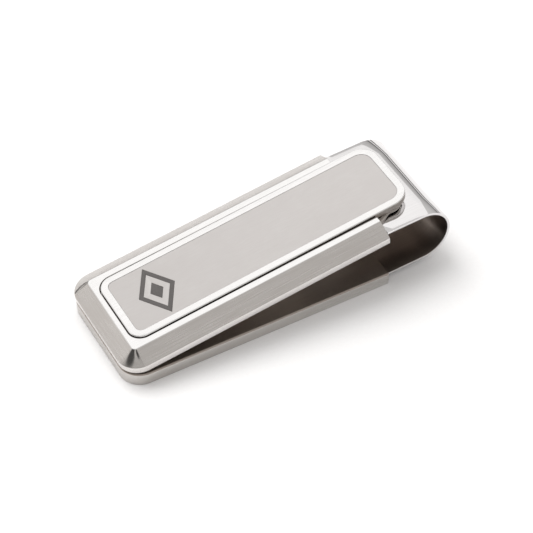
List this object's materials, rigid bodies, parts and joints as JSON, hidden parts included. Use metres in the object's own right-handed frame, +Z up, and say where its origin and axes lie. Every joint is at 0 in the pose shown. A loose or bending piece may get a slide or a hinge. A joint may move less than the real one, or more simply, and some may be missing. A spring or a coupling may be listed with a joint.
{
  "type": "money clip",
  "caption": "Sprung money clip: a folded spring strip holds a base tray and a hinged bevelled frame with a lever plate that opens the nose when its tail is pressed.",
  "frame": {"origin": "centre of the bounding box in plan, on the surface that the base rests on", "axes": "+X runs from the nose to the fold, +Y across the clip, +Z up from the base"},
  "size_m": [0.0514, 0.019, 0.012],
  "materials": {
    "base_satin_steel": "satin brushed stainless steel",
    "rivet_steel": "flush steel rivets",
    "spring_steel_polished": "mirror-polished spring steel strip",
    "pin_steel": "ground and polished steel pin",
    "leaf_steel": "tempered spring steel leaf",
    "frame_satin_steel": "satin brushed bevels with a polished land",
    "lever_polished": "polished border with satin edges",
    "inlay_satin_steel": "fine satin steel inlay",
    "emblem_enamel": "dark grey enamel in the engraving"
  },
  "bodies": {
    "base": {"base_plate": "base_satin_steel", "base_rivets": "rivet_steel", "spring_band": "spring_steel_polished"},
    "arm": {"hinge_pin": "pin_steel", "bow_spring": "leaf_steel", "spring_rivets": "rivet_steel"},
    "jaw": {"clamp_frame": "frame_satin_steel", "lever_plate": "lever_polished", "lever_rivets": "rivet_steel", "inlay_panel": "inlay_satin_steel", "emblem_fill": "emblem_enamel"}
  },
  "joints": [
    {"name": "band_flex", "type": "hinge", "parent": "base", "child": "arm", "pos_m": [0.02127, 0, 0.00548], "axis": [0, 1, 0], "range_deg": [0, 6], "stiffness_Nm_per_rad": 0.8, "springref_deg": -1.72, "deforming": ["spring_band"]},
    {"name": "jaw_hinge", "type": "hinge", "parent": "arm", "child": "jaw", "pos_m": [0.0105, 0, 0.00855], "axis": [0, 1, 0], "range_deg": [0, 4], "stiffness_Nm_per_rad": 0.3, "springref_deg": -1.72, "deforming": ["bow_spring"]}
  ]
}
